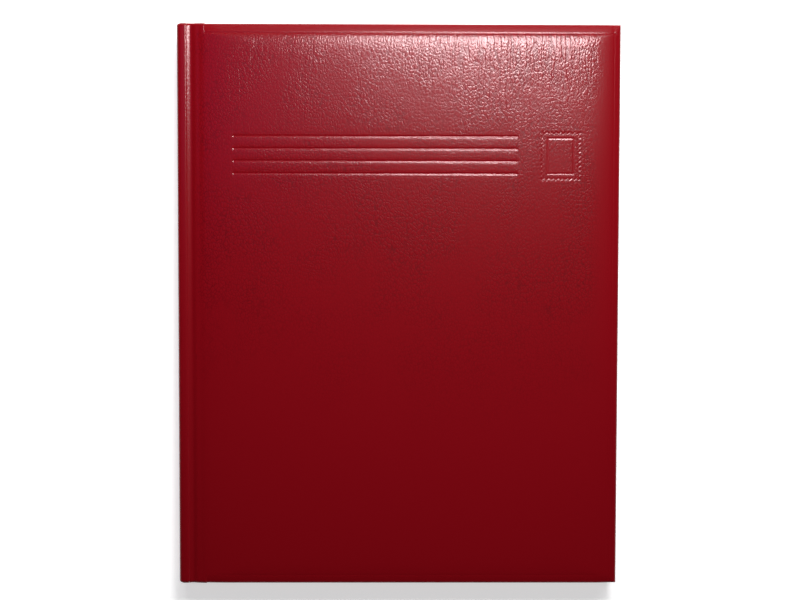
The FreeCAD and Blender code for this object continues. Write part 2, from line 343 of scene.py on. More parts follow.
def foam_pad(name, facing, place, body, node):
    """The foam of a cover: the covering's inside shape, standing on the board."""
    xs = graded(covering - half_width, half_width - covering, [(half_width - 3, half_width, 0.6)], 5)
    ys = graded(covering - head, head - covering, [(-head, 3 - head, 0.6), (head - 3, head, 0.6)], 5)
    gx, gy = np.meshgrid(xs, ys)
    upper = padded_height(gx, gy, facing) - covering - FOAM_SLACK
    upper = np.maximum(upper, board_top + THINNEST)
    floor = board_top + FOAM_FOOT
    shape, cells = closed_panel(xs, ys, upper, [(0, floor)], np.full_like(upper, floor))
    foam = piece(name, shape * place[0] + place[1], cells, body, [node])
    return foam


# %% [markdown]
# The front cover has the lines and the mark. Its height is kept at or under the
# thickness of the measured cover, so the album doesn't grow.

# %% Front covering and its foam
x, y = np.meshgrid(across, along)
plain = padded_height(x, y)
die = pressed_lines(x, y) + pressed_mark(x, y)
pressed = np.minimum(plain - die, depth)
front_place = (np.ones(3), np.array([*cover_middle, front_low[2]]))
front = cover_skin("front_covering", across, along, pressed, plain, front_place,
                   "front_cover", "front_cover_leatherette")
front_foam = foam_pad("front_foam", 1, front_place, "front_cover", "front_cover_padding")
print("deepest pressing", round(float(die.max()), 2), "mm")

# %% [markdown]
# A hot die irons the grain flat where it presses. Each point keeps how far that went, for
# the material to read: 0 where the die presses less than 0.05 mm, and 1 where it presses
# 0.08 mm more than that.

# %% Where the grain is ironed
flattened = np.zeros(len(front.data.vertices))
flattened[:die.size] = np.clip((die.ravel() - 0.05) / 0.08, 0, 1)
ironed = front.data.attributes.new("ironed", "FLOAT", "POINT")
ironed.data.foreach_set("value", flattened.astype(np.float32))
print("ironed flat:", int((flattened == 1).sum()), "points")

# %% [markdown]
# ## Back cover
# The back is the same panel lying the other way up, with the crease but no lines or
# mark. Half a turn about the long direction of the page puts it in place: across stays,
# up becomes down and head becomes tail, and the surface stays right side out.

# %% Back covering and its foam
back_ends = [(-b, -a, spacing) for a, b, spacing in [*head_zones, *tail_zones]]
across = graded(-half_width, half_width, edge_zones, 4)
along = graded(-head, head, back_ends, 4)
x, y = np.meshgrid(across, along)
plain = padded_height(x, y, -1)
back_place = (np.array([1, -1, -1]), np.array([*cover_middle, depth]))
back = cover_skin("back_covering", across, along, plain, plain, back_place,
                  "back_cover", "back_cover_leatherette")
back_foam = foam_pad("back_foam", -1, back_place, "back_cover", "back_cover_padding")

# %% [markdown]
# ## Spine
# The spine is a narrow panel that stands on edge between the covers. Its long edges make
# the two ridges beside the joints: well rounded outside, and with a tighter shoulder
# inside, which the joint's covering comes out from under. It uses the same closed grid,
# turned a quarter so that its outside faces away from the pages.

# %% Shape of the spine
spine_low, spine_high = (np.array(v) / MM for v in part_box("spine_leatherette"))
spine_half, spine_depth = (spine_high - spine_low)[2] / 2, (spine_high - spine_low)[0]
spine_middle = (spine_high + spine_low) / 2
RIDGE, END = 2.2, 1.3              # rounding of the long outer edges, and of the ends
RIDGE_START = 7.8                  # a close grid from here out, measured from the middle
SHOULDER = 1.5                     # radius of the long inner edges
SPINE_TURN_IN = 4                  # folded round to the inside
PINCH, PINCH_LENGTH = 0.09, 1.6    # share by which the ridges fall to each end, and how soon
print("spine", np.round(spine_high - spine_low, 2), "mm")


def spine_height(x, y):
    """Flat, falling off in a quarter circle at the ridges and at head and tail."""
    ridge = np.maximum(1 - (spine_half - np.abs(x)) / RIDGE, 0)
    end = np.maximum(1 - (half_height - np.abs(y)) / END, 0)
    round_off = RIDGE * (1 - np.sqrt(1 - ridge ** 2)) + END * (1 - np.sqrt(1 - end ** 2))
    return spine_depth - np.minimum(round_off, RIDGE)


def pinched(z, y):
    """Draws the ridges in over the last PINCH_LENGTH before head and tail, as a square law."""
    near_end = np.clip((np.abs(y) - (head - PINCH_LENGTH)) / PINCH_LENGTH, 0, 1)
    return spine_middle[2] + (z - spine_middle[2]) * (1 - PINCH * near_end ** 2)


def stand_up(points):
    """Turns a panel drawn flat so that it stands as the spine, outside away from the pages."""
    points = points[:, [2, 1, 0]] * [-1, 1, 1] + [spine_high[0], 0, spine_middle[2]]
    points[:, 2] = pinched(points[:, 2], points[:, 1])
    return points


# %% [markdown]
# The covering of the spine is one skin too. Its rings go down the short side, round the
# shoulder in a quarter circle, and in under the board.

# %% Spine covering
ridges = [(-spine_half, -RIDGE_START, 0.16), (RIDGE_START, spine_half, 0.16)]
ends = [(-head, -head + PINCH_LENGTH, 0.16), (head - PINCH_LENGTH, head, 0.16)]
xs = graded(-spine_half, spine_half, ridges, 1.0)
ys = graded(-head, head, ends, 4.0)
x, y = np.meshgrid(xs, ys)
upper = spine_height(x, y)
turns = np.radians(np.linspace(0, 90, 7))
shoulder = [(SHOULDER * (1 - math.cos(turn)), SHOULDER * (1 - math.sin(turn))) for turn in turns]
SPINE_TUCK = [(0, 2.2), *shoulder, (SPINE_TURN_IN, 0), (SPINE_TURN_IN, covering),
              (covering, covering), (covering, 2.8)]
points, faces = closed_panel(xs, ys, upper, SPINE_TUCK, np.maximum(upper - covering, 3.0))
spine = piece("spine_covering", stand_up(points), faces, "spine",
              ["spine_leatherette"])

# %% [markdown]
# ## Joints
# Between the spine and a cover the covering is alone, pressed down into a deep soft
# groove that lets the cover swing. It is the one part of the case that bends, and here it
# is made as a piece of its own, not tied to the spine or a cover.

# %% Section of a joint
joint_low, joint_high = (np.array(v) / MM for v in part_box("front_joint_leatherette"))
top = high[2]
VALLEY = -2.35                     # bottom of the groove, from the front of the album
UNDER_RIDGE = 2.4                  # the covering starts this far in under the spine's ridge,
HIDDEN = 0.05                      # and this far below the spine's long side
LOWEST = 1.6                       # place of the bottom, across from the start of the joint
BEND = (4.2, 0.7, 0.16)            # place of the bend, its height above the bottom, its slope
OVERLAP = 1.6                      # how far the joint's covering laps over the cover
LIFT, SINK = 0.01, 0.02            # it lies this much proud there, and sinks by SINK * mm^2
LAP_END = 2.2                      # and runs on this far below the cover's surface


def eased(start, end, count):
    """A curve between two (place, height, slope) ends: the cubic with those slopes."""
    (x0, z0, s0), (x1, z1, s1) = start, end
    t, run = np.linspace(0, 1, count), x1 - x0
    z = (z0 * (1 + 2 * t) * (1 - t) ** 2 + s0 * run * t * (1 - t) ** 2
         + z1 * t * t * (3 - 2 * t) + s1 * run * t * t * (t - 1))
    return np.stack([x0 + run * t, z], 1)


def joint_section():
    """Section of the groove: across, and height below the front of the album.

    Three cubics: down from under the spine's shoulder to the bottom, up to a bend, and
    more gently on to the cover, as steep as the cover is where they meet it. The end
    follows the cover and sinks below it with the square of the distance, so that no edge
    shows. The inside line is the same curve moved by the covering's thickness along its
    normal.
    """
    ridge, bottom = joint_low[0] - UNDER_RIDGE, joint_low[0] + LOWEST
    bend = (joint_low[0] + BEND[0], VALLEY + BEND[1], BEND[2])
    rim = joint_high[0] + OVERLAP
    beyond = np.linspace(0, LAP_END, 7)
    cover_at = padded_height(rim + beyond - cover_middle[0], np.zeros(7)) - depth
    rise = (cover_at[1] - cover_at[0]) / beyond[1]
    first = eased((ridge, spine_high[2] - top - HIDDEN, 0), (bottom, VALLEY, 0), 16)
    second = eased((bottom, VALLEY, 0), bend, 10)
    third = eased(bend, (rim, cover_at[0] + LIFT, rise), 8)
    on_cover = np.stack([rim + beyond, cover_at + LIFT - SINK * beyond ** 2], 1)
    path = np.concatenate([first, second[1:], third[1:], on_cover[1:]])
    slope = np.gradient(path, axis=0)
    normal = np.stack([slope[:, 1], -slope[:, 0]], 1)
    normal /= np.linalg.norm(normal, axis=1)[:, None]
    return np.concatenate([path, (path + normal * covering)[::-1]])


section = joint_section()
print("section of a joint:", len(section), "points, lowest", round(-VALLEY, 2), "mm below the front")

# %% [markdown]
# The section is carried from tail to head, and drawn in with the spine's ridges at both
# ends. The back joint is the same piece, mirrored: its heights are taken from the floor,
# and its faces are turned round so that they still point outwards.

# %% Joint coverings
def joint(name, front_side, node):
    """The groove's section carried from tail to head, with its two ends closed."""
    ends = [(-head, -head + PINCH_LENGTH, 0.25), (head - PINCH_LENGTH, head, 0.25)]
    stations = graded(-head + 0.05, head - 0.05, ends, 2.5)
    x = np.repeat(section[None, :, 0], len(stations), 0)
    y = np.repeat(stations[:, None], len(section), 1)
    z = pinched(np.repeat(top + section[None, :, 1], len(stations), 0), y)
    index = np.arange(x.size).reshape(x.shape)
    index = np.concatenate([index, index[:, :1]], 1)
    faces = quads(index)
    caps = [index[0, :-1].tolist()[::-1], index[-1, :-1].tolist()]
    if not front_side:
        z = top - z
        faces, caps = faces[:, ::-1], [cap[::-1] for cap in caps]
    points = np.stack([x, y, z], -1)
    new = piece(name, points, faces, None, [node], caps)
    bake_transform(new)
    return new


front_joint = joint("front_joint", True, "front_joint_leatherette")
back_joint = joint("back_joint", False, "back_joint_leatherette")

# %% [markdown]
# ## Foam in the spine
# The same foam lies under the covering of the spine. It never shows, but it is what holds
# the covering off the board, so it is made like the pads of the covers.

# %% Spine foam
SPINE_BOARD = 2.5                  # outer face of the spine's board, from its inside face
ridges = [(-spine_half, -RIDGE_START, 0.5), (RIDGE_START, spine_half, 0.5)]
xs = graded(covering - spine_half, spine_half - covering, ridges, 2.0)
ys = graded(covering - head, head - covering, [], 5.0)
x, y = np.meshgrid(xs, ys)
upper = np.maximum(spine_height(x, y) - covering - FOAM_SLACK, SPINE_BOARD + THINNEST)
foot = np.full_like(upper, SPINE_BOARD + FOAM_FOOT)
points, faces = closed_panel(xs, ys, upper, [(0, foot[0, 0])], foot)
spine_foam = piece("spine_foam", stand_up(points), faces, "spine", ["spine_padding"])

# %% [markdown]
# ## Headbands
# A headband is silk wound round a thin cord, on a tape that is glued to the spine behind
# the leaves. Each turn of silk stands up a little, so the bead is a round section whose
# radius ripples once per thread as it is carried along. Its two colours change every few
# turns, which is left to the material.

# %% Headband beads
THREAD = 0.5                       # one turn of silk
BEAD = 0.85                        # radius of the bead
TAPE = 0.3                         # thickness of the tape


def headband(name, node):
    """Section of tape and bead, carried along the thickness of the block, ends closed.

    The section is a thin upright for the tape, then three quarters of a circle. Only the
    circle ripples: its radius times 0.92 + 0.08 |sin| of the place along.
    """
    lo, hi = (np.array(v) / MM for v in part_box(node))
    outer = 1 if hi[1] > 0 else -1
    end, tail = (hi[1], lo[1]) if outer > 0 else (-lo[1], -hi[1])
    turn = np.radians(np.linspace(-140, 180, 27))
    circle = np.stack([np.cos(turn), np.sin(turn)], 1)
    along = np.linspace(lo[2], hi[2], int((hi[2] - lo[2]) / THREAD * 7))
    near_end = np.clip(np.minimum(along - lo[2], hi[2] - along) / 0.5, 0, 1)
    radius = BEAD * (0.55 + 0.45 * np.sqrt(1 - (1 - near_end) ** 2))
    radius = radius * (0.92 + 0.08 * np.abs(np.sin(np.pi * (along - lo[2]) / THREAD)))
    bead = [BEAD + 0.05, end - BEAD - 0.05] + circle[None] * radius[:, None, None]
    tape = np.array([[0, end - BEAD], [0, tail], [TAPE, tail], [TAPE, end - 2 * BEAD]])
    section = np.concatenate([bead, np.repeat(tape[None], len(along), 0)], 1)
    z = np.repeat(along[:, None], section.shape[1], 1)
    points = np.stack([lo[0] + section[..., 0], outer * section[..., 1], z], -1)
    index = np.arange(z.size).reshape(z.shape)
    caps = [index[0].tolist()[::-1], index[-1].tolist()]
    faces = quads(np.concatenate([index, index[:, :1]], 1))
    if outer < 0:
        faces, caps = faces[:, ::-1], [cap[::-1] for cap in caps]
    return piece(name, points, faces, "spine", [node], caps)


head_band = headband("head_band_silk", "head_band")
tail_band = headband("tail_band_silk", "tail_band")

# %% [markdown]
# ## Materials
# Every finish is worked out from coordinates in millimetres, so a pattern's scale is one
# over the real size of the thing it draws. Three helpers are enough: one turns a given
# colour into the linear values a shader works with, one adds a node, and one
# starts a new material.

# %% Colour and node helpers
def linear(code):
    """An sRGB hex colour as linear red, green, blue and an alpha of one."""
    value = np.array([int(code[i:i + 2], 16) / 255 for i in (1, 3, 5)])
    value = np.where(value <= 0.04045, value / 12.92, ((value + 0.055) / 1.055) ** 2.4)
    return (*value.tolist(), 1.0)


def add(tree, kind, inputs=(), **settings):
    """Adds a node. settings are its options; inputs are values or links, by socket."""
    node = tree.nodes.new("ShaderNode" + kind)
    for name, value in settings.items():
        setattr(node, name, value)
    for socket, value in dict(inputs).items():
        if isinstance(value, bpy.types.NodeSocket):
            tree.links.new(value, node.inputs[socket])
        else:
            node.inputs[socket].default_value = value
    return node


def start(name, attribute=None):
    """A new material with its node tree, its shader, and the place on the piece in mm."""
    made = bpy.data.materials.new(name)
    made.use_nodes = True
    tree = made.node_tree
    shader = tree.nodes["Principled BSDF"]
    if attribute:
        place = add(tree, "Attribute", attribute_name=attribute).outputs["Vector"]
    else:
        place = add(tree, "TexCoord").outputs["Object"]
    in_mm = add(tree, "VectorMath", {0: place, "Scale": 1000}, operation="SCALE")
    return made, tree, shader, in_mm.outputs[0]


finishes = {}

# %% [markdown]
# ## Leatherette
# The covering is bonded leather: leather fibre and binder with a clear-lacquered,
# dark red face, embossed with a fine grain. Pulled over foam it takes a second, larger
# pattern of its own: small cells where it is stretched at the head, and long furrows
# that run down from the head towards the fore-edge. The pattern reads the piece's
# unbent place, so it doesn't slide when a joint bends.

# %% Leatherette: where each pattern lies
leatherette, tree, shader, place = start("bonded_leather_lacquered", "cut")
finishes["leatherette"] = leatherette
spot = add(tree, "SeparateXYZ", {0: place})
wander = add(tree, "TexNoise", {"Vector": place, "Scale": 1 / 9, "Detail": 2})
bent = add(tree, "VectorMath", {0: wander.outputs["Color"], 1: (3, 3, 3), 2: place},
           operation="MULTIPLY_ADD").outputs[0]
drift = add(tree, "TexNoise", {"Vector": place, "Scale": 1 / 45, "Detail": 1})
drifted = add(tree, "Math", {0: drift.outputs["Fac"], 1: 90, 2: spot.outputs["Y"]},
              operation="MULTIPLY_ADD").outputs[0]
to_head = add(tree, "MapRange", {"Value": drifted, "From Min": 130, "From Max": 195},
              interpolation_type="SMOOTHSTEP").outputs["Result"]
to_fore_edge = add(tree, "MapRange", {"Value": spot.outputs["X"], "From Min": -40,
                                      "From Max": 50}, interpolation_type="SMOOTHSTEP")
stretched = add(tree, "Math", {0: to_head, 1: to_fore_edge.outputs["Result"]},
                operation="MULTIPLY").outputs[0]

# %% [markdown]
# The grain isn't even. It is ironed flat where the die presses, smooth where the covering
# is pulled tight over the cover's edges and the spine, and strong only in patches. So
# each of its patterns is multiplied by a mask that says how grained the place is.

# %% Leatherette: masks
IRONED_GRAIN, EDGE_GRAIN = 0.12, 0.06    # share of the grain left where it is pressed or pulled
# For each tight edge: its axis, the place where it is smooth, and where the grain is full.
TIGHT = (("X", 113, 101), ("X", -114, -104), ("Y", 148.5, 146))
grained = add(tree, "Attribute", attribute_name="ironed").outputs["Fac"]
grained = add(tree, "MapRange", {"Value": grained, "To Min": 1, "To Max": IRONED_GRAIN},
              interpolation_type="SMOOTHSTEP").outputs["Result"]
for axis, smooth_at, grained_at in TIGHT:
    inwards = add(tree, "MapRange", {"Value": spot.outputs[axis], "From Min": smooth_at,
                                     "From Max": grained_at, "To Min": EDGE_GRAIN},
                  interpolation_type="SMOOTHSTEP").outputs["Result"]
    grained = add(tree, "Math", {0: grained, 1: inwards}, operation="MULTIPLY").outputs[0]
patches = add(tree, "TexNoise", {"Vector": place, "Scale": 1 / 28, "Detail": 2}).outputs["Fac"]
patches = add(tree, "MapRange", {"Value": patches, "From Min": 0.35, "From Max": 0.62,
                                 "To Min": 0.5}, interpolation_type="SMOOTHSTEP")
upwards = add(tree, "MapRange", {"Value": drifted, "From Min": -40, "From Max": 95},
              interpolation_type="SMOOTHSTEP")
patchy = add(tree, "Math", {0: upwards.outputs["Result"], 1: patches.outputs["Result"]},
             operation="MULTIPLY")
patchy = add(tree, "Math", {0: patchy.outputs[0], 1: grained}, operation="MULTIPLY").outputs[0]
stretched = add(tree, "Math", {0: stretched, 1: grained}, operation="MULTIPLY").outputs[0]

# %% [markdown]
# Each pattern becomes a height in millimetres. The grain is pebbles, the cells of a
# Voronoi pattern 1.5 mm wide and half as long again, with a fine crease between them.

# %% Leatherette: pebbles
LEAST, PATCHES, STRETCHED, SPINE = 0.002, 0.025, 0.013, 0.014    # heights of the pebbles in mm
PEBBLE = (1.5, 2.2, 1.5)                                         # size of one along X, Y and Z
relief = add(tree, "Math", {0: patchy, 1: PATCHES, 2: LEAST}, operation="MULTIPLY_ADD").outputs[0]
relief = add(tree, "Math", {0: stretched, 1: STRETCHED, 2: relief}, operation="MULTIPLY_ADD")
on_spine = add(tree, "MapRange", {"Value": spot.outputs["X"], "From Min": -112.5,
                                  "From Max": -114, "To Max": SPINE},
               interpolation_type="SMOOTHSTEP")
relief = add(tree, "Math", {0: relief.outputs[0], 1: on_spine.outputs["Result"]}, operation="ADD")
per_mm = tuple(1 / size for size in PEBBLE)
cells = add(tree, "VectorMath", {0: bent, 1: per_mm}, operation="MULTIPLY")
cells = add(tree, "TexVoronoi", {"Vector": cells.outputs[0], "Scale": 1},
            feature="DISTANCE_TO_EDGE").outputs["Distance"]
pebbles = add(tree, "MapRange", {"Value": cells, "From Max": 0.3},
              interpolation_type="SMOOTHSTEP").outputs["Result"]
height = add(tree, "Math", {0: pebbles, 1: relief.outputs[0]}, operation="MULTIPLY").outputs[0]
creases = add(tree, "MapRange", {"Value": cells, "From Min": 0.02, "From Max": 0.11,
                                 "To Min": 1, "To Max": 0}, interpolation_type="SMOOTHSTEP")
# painted shade: the creases between the pebbles are coloured darker in the grained patches
dark = add(tree, "Math", {0: creases.outputs["Result"], 1: patchy}, operation="MULTIPLY").outputs[0]

# %% [markdown]
# Pores are a finer noise over everything, deeper in the grained patches. Real ones are
# about 0.2 mm apart, and they are drawn at 0.9 mm so that they show.

# %% Leatherette: pores
PORE = 0.9                               # from pore to pore, in mm
PORE_LEAST, PORE_PATCHES = 0.006, 0.014  # their depths in mm
pores = add(tree, "TexNoise", {"Vector": bent, "Scale": 1 / PORE, "Detail": 2}).outputs["Fac"]
pore_depth = add(tree, "Math", {0: patchy, 1: PORE_PATCHES, 2: PORE_LEAST},
                 operation="MULTIPLY_ADD")
height = add(tree, "Math", {0: pores, 1: pore_depth.outputs[0], 2: height},
             operation="MULTIPLY_ADD").outputs[0]

# %% [markdown]
# Furrows and wrinkles are the places where a stretched noise passes through its middle
# value, which gives long thin lines that wander and end. Furrows are wide and deep, and
# wrinkles are narrow and shallow; both floors are painted darker as painted shade, the furrows' most.

# %% Leatherette: furrows and wrinkles
# For each: cells per mm along each axis, half width as a share of the noise, where it
# lies, depth in mm, and how dark its floor is painted, as painted shade.
FURROWS = ((0.40, 0.045, 0.3), 0.10, stretched, 0.05, 1.0)
WRINKLES = ((0.22, 0.030, 0.2), 0.035, patchy, 0.014, 0.3)
for stretch, narrow, mask, line_depth, floor_shade in (FURROWS, WRINKLES):
    along = add(tree, "VectorMath", {0: bent, 1: stretch}, operation="MULTIPLY")
    line = add(tree, "TexNoise", {"Vector": along.outputs[0], "Scale": 1, "Detail": 1})
    line = add(tree, "Math", {0: line.outputs["Fac"], 1: 0.5}, operation="SUBTRACT")
    line = add(tree, "Math", {0: line.outputs[0]}, operation="ABSOLUTE").outputs[0]
    wall = add(tree, "MapRange", {"Value": line, "From Max": narrow},
               interpolation_type="SMOOTHSTEP").outputs["Result"]
    deep = add(tree, "Math", {0: mask, 1: line_depth}, operation="MULTIPLY").outputs[0]
    height = add(tree, "Math", {0: wall, 1: deep, 2: height}, operation="MULTIPLY_ADD").outputs[0]
    # painted shade on the floor of each furrow and wrinkle, darkest along its middle
    floor_shade_mask = add(tree, "MapRange", {"Value": line, "From Min": narrow * 0.2,
                                     "From Max": narrow * 0.7, "To Min": floor_shade, "To Max": 0},
                  interpolation_type="SMOOTHSTEP").outputs["Result"]
    floor_shade_mask = add(tree, "Math", {0: mask, 1: floor_shade_mask}, operation="MULTIPLY").outputs[0]
    dark = add(tree, "Math", {0: dark, 1: floor_shade_mask}, operation="MAXIMUM").outputs[0]

# %% [markdown]
# Creases hold less lacquer than the pebbles' tops, so they are a touch duller. They and the
# floors of furrows and wrinkles are also painted darker, which is painted shade. The lacquer is
# clear but not colourless: it lets a little of the red into its own reflection, which the specular
# tint gives.

# %% Leatherette: colour and gloss
bump = add(tree, "Bump", {"Height": height, "Strength": 1.0, "Distance": MM})
tree.links.new(bump.outputs["Normal"], shader.inputs["Normal"])
# the ramp's second colour is the painted shade of creases, furrows and wrinkles
shade = add(tree, "ValToRGB", {"Fac": dark})
shade.color_ramp.elements[0].color = linear("#72060F")
shade.color_ramp.elements[1].color = linear("#5E040B")
tree.links.new(shade.outputs["Color"], shader.inputs["Base Color"])
dull = add(tree, "MapRange", {"Value": dark, "To Min": 0.22, "To Max": 0.24},
           interpolation_type="SMOOTHSTEP")
tree.links.new(dull.outputs["Result"], shader.inputs["Roughness"])
shader.inputs["IOR"].default_value = 1.5
shader.inputs["Specular Tint"].default_value = (1.0, 0.77, 0.79, 1.0)
print("leatherette:", len(tree.nodes), "nodes")

# %% [markdown]
# ## Hidden parts of the case
# Foam and greyboard are inside the covering and only show if the album is taken apart.
# The foam is open-celled polyurethane, matt and full of small holes, which are painted darker as
# painted shade. The board is pressed from waste paper, so it is grey with lighter and darker fibres.

# %% Foam and greyboard
foam, tree, shader, place = start("open_cell_foam")
finishes["foam"] = foam
holes = add(tree, "TexVoronoi", {"Vector": place, "Scale": 1 / 0.9})
# painted shade: the foam is coloured darker towards the middle of each hole
tone = add(tree, "ValToRGB", {"Fac": holes.outputs["Distance"]})
tone.color_ramp.elements[0].color = linear("#A9A593")
tone.color_ramp.elements[1].color = linear("#E3DFD0")
tree.links.new(tone.outputs["Color"], shader.inputs["Base Color"])
bump = add(tree, "Bump", {"Height": holes.outputs["Distance"], "Strength": 0.6, "Distance": 0.3 * MM})
tree.links.new(bump.outputs["Normal"], shader.inputs["Normal"])
shader.inputs["Roughness"].default_value = 0.95

greyboard, tree, shader, place = start("grey_pulp_board")
finishes["greyboard"] = greyboard
fibres = add(tree, "TexNoise", {"Vector": place, "Scale": 1 / 1.5, "Detail": 5, "Roughness": 0.7})
tone = add(tree, "ValToRGB", {"Fac": fibres.outputs["Fac"]})
tone.color_ramp.elements[0].color = linear("#6F6A62")
tone.color_ramp.elements[1].color = linear("#A39C90")
tree.links.new(tone.outputs["Color"], shader.inputs["Base Color"])
bump = add(tree, "Bump", {"Height": fibres.outputs["Fac"], "Strength": 0.5, "Distance": 0.05 * MM})
tree.links.new(bump.outputs["Normal"], shader.inputs["Normal"])
shader.inputs["Roughness"].default_value = 0.9

# %% [markdown]
# ## Black card and endpapers
# Stamps stand out on black, so the leaves are stiff black card and the endpapers black
# paper. Dyed pulp is never a flat black: short fibres lie in it a little lighter and a
# little darker, and the surface is calendered to a soft, even dullness.

# %% Two black papers
def black_paper(name, dark, light, fibre, rough, relief):
    """Pulp: a cloudy noise for the sheet's formation and a stretched one for fibres."""
    made, tree, shader, place = start(name)
    cloud = add(tree, "TexNoise", {"Vector": place, "Scale": 1 / 6, "Detail": 3})
    grain = add(tree, "VectorMath", {0: place, 1: (1.0, 0.35, 1.0)}, operation="MULTIPLY")
    grain = add(tree, "TexNoise", {"Vector": grain.outputs[0], "Scale": 1 / fibre, "Detail": 4,
                                   "Roughness": 0.7, "Distortion": 0.6})
    both = add(tree, "Mix", {"Factor": 0.35, 2: grain.outputs["Fac"], 3: cloud.outputs["Fac"]})
    tone = add(tree, "ValToRGB", {"Fac": both.outputs[0]})
    tone.color_ramp.elements[0].color = linear(dark)
    tone.color_ramp.elements[1].color = linear(light)
    tone.color_ramp.elements[0].position, tone.color_ramp.elements[1].position = 0.35, 0.68
    tree.links.new(tone.outputs["Color"], shader.inputs["Base Color"])
    bump = add(tree, "Bump", {"Height": grain.outputs["Fac"], "Strength": 0.6,
                              "Distance": relief * MM})
    tree.links.new(bump.outputs["Normal"], shader.inputs["Normal"])
    shader.inputs["Roughness"].default_value = rough
    return made


finishes["black_card"] = black_paper("black_dyed_card", "#1B1B1D", "#2C2C2F", 0.6, 0.62, 0.03)
finishes["endpaper"] = black_paper("black_laid_endpaper", "#202022", "#343437", 0.9, 0.75, 0.05)

# %% [markdown]
# ## Woven parts
# Each leaf turns on a strip of black linen, and a strip of pale open mull reinforces the
# spine. Both are plain weaves: warp and weft pass over and under each other in turn, so
# the height is the larger of two sets of rounded bars that rise and fall half a beat
# apart. Linen thread is about 0.4 mm apart, and is drawn at 0.7 mm so that it shows.

# %% Linen and mull
def plain_weave(name, pitch, thread, gap, rough, relief):
    """Plain weave: bars along x and y, whose heights swap over from crossing to crossing."""
    made, tree, shader, place = start(name)
    spot = add(tree, "SeparateXYZ", {0: place})
    waves = {}
    for axis in "XY":
        turn = add(tree, "Math", {0: spot.outputs[axis], 1: math.pi / pitch}, operation="MULTIPLY")
        wave = add(tree, "Math", {0: turn.outputs[0]}, operation="SINE").outputs[0]
        waves[axis] = wave, add(tree, "Math", {0: wave}, operation="ABSOLUTE").outputs[0]
    over = add(tree, "Math", {0: waves["X"][0], 1: waves["Y"][0]}, operation="MULTIPLY").outputs[0]
    warp = add(tree, "Math", {0: over, 1: 0.35, 2: waves["X"][1]}, operation="MULTIPLY_ADD")
    weft = add(tree, "Math", {0: over, 1: -0.35, 2: waves["Y"][1]}, operation="MULTIPLY_ADD")
    height = add(tree, "Math", {0: warp.outputs[0], 1: weft.outputs[0]}, operation="MAXIMUM")
    slub = add(tree, "TexNoise", {"Vector": place, "Scale": 1 / 3, "Detail": 3})
    level = add(tree, "Math", {0: slub.outputs["Fac"], 1: 0.3, 2: height.outputs[0]},
                operation="MULTIPLY_ADD")
    # painted shade: the low places between the threads take the darker gap colour
    tone = add(tree, "ValToRGB", {"Fac": level.outputs[0]})
    tone.color_ramp.elements[0].color = linear(gap)
    tone.color_ramp.elements[1].color = linear(thread)
    tone.color_ramp.elements[0].position = 0.45
    tree.links.new(tone.outputs["Color"], shader.inputs["Base Color"])
    bump = add(tree, "Bump", {"Height": height.outputs[0], "Strength": 0.8, "Distance": relief * MM})
    tree.links.new(bump.outputs["Normal"], shader.inputs["Normal"])
    shader.inputs["Roughness"].default_value = rough
    shader.inputs["Sheen Weight"].default_value = 0.2
    return made


finishes["linen"] = plain_weave("black_bookbinding_linen", 0.7, "#2B2B2E", "#0F0F10", 0.8, 0.12)
finishes["lining_cloth"] = plain_weave("open_cotton_mull", 1.4, "#D9D1BC", "#8D8570", 0.9, 0.25)

# %% [markdown]
# ## Headband silk
# Spun silk has a soft lustre that runs along the thread. Three turns of dark red are
# followed by three of white, so the stripe's period is six threads along the bead.

# %% Striped silk
silk, tree, shader, place = start("striped_silk_thread")
finishes["headband_silk"] = silk
spot = add(tree, "SeparateXYZ", {0: place})
turns = add(tree, "Math", {0: spot.outputs["Z"], 1: 1 / (6 * THREAD)}, operation="MULTIPLY")
turns = add(tree, "Math", {0: turns.outputs[0]}, operation="FRACT")
stripe = add(tree, "Math", {0: turns.outputs[0], 1: 0.5}, operation="GREATER_THAN")
fluff = add(tree, "TexNoise", {"Vector": place, "Scale": 1 / 0.35, "Detail": 3})
tone = add(tree, "Mix", {"Factor": stripe.outputs[0], 6: linear("#F1ECE0"), 7: linear("#7C0B18")},
           data_type="RGBA")
tree.links.new(tone.outputs[2], shader.inputs["Base Color"])
bump = add(tree, "Bump", {"Height": fluff.outputs["Fac"], "Strength": 0.5, "Distance": 0.05 * MM})
tree.links.new(bump.outputs["Normal"], shader.inputs["Normal"])
shader.inputs["Roughness"].default_value = 0.45
shader.inputs["Sheen Weight"].default_value = 0.4

# %% [markdown]
# ## Clear strips
# A strip is clear polyester film, fixed to the card along its lower edge, where a line
# of adhesive makes it milky. The film is drawn a little rippled along its length, as it
# is only held at that edge.

# %% Film
STRIP_PITCH = 31.0                 # one strip and the gap above it
GLUE = (1.1, 1.6)                  # the adhesive is milky up to here, and clear from there
film, tree, shader, place = start("clear_polyester_film")
finishes["clear_film"] = film
strips_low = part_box("leaf_1_front_strips")[0][1] / MM
spot = add(tree, "SeparateXYZ", {0: place})
up = add(tree, "Math", {0: spot.outputs["Y"], 1: strips_low}, operation="SUBTRACT")
up = add(tree, "Math", {0: up.outputs[0], 1: STRIP_PITCH}, operation="FLOORED_MODULO")
glue = add(tree, "MapRange", {"Value": up.outputs[0], "From Min": GLUE[0], "From Max": GLUE[1],
                              "To Min": 0.42, "To Max": 0.16})
ripple = add(tree, "VectorMath", {0: place, 1: (0.02, 0.12, 1)}, operation="MULTIPLY")
ripple = add(tree, "TexNoise", {"Vector": ripple.outputs[0], "Scale": 1, "Detail": 1})
bump = add(tree, "Bump", {"Height": ripple.outputs["Fac"], "Strength": 0.5, "Distance": 0.5 * MM})
tree.links.new(bump.outputs["Normal"], shader.inputs["Normal"])
tree.links.new(glue.outputs["Result"], shader.inputs["Alpha"])
shader.inputs["Base Color"].default_value = linear("#DDE3E6")
shader.inputs["Roughness"].default_value = 0.08

# %% [markdown]
# ## Interleaves
# An interleaf is glassine: paper beaten and rolled until it lets light through, embossed
# all over with a fine crackle so that it doesn't cling. The crackle is the borders of a
# Voronoi pattern, and it is also a little more milky there.

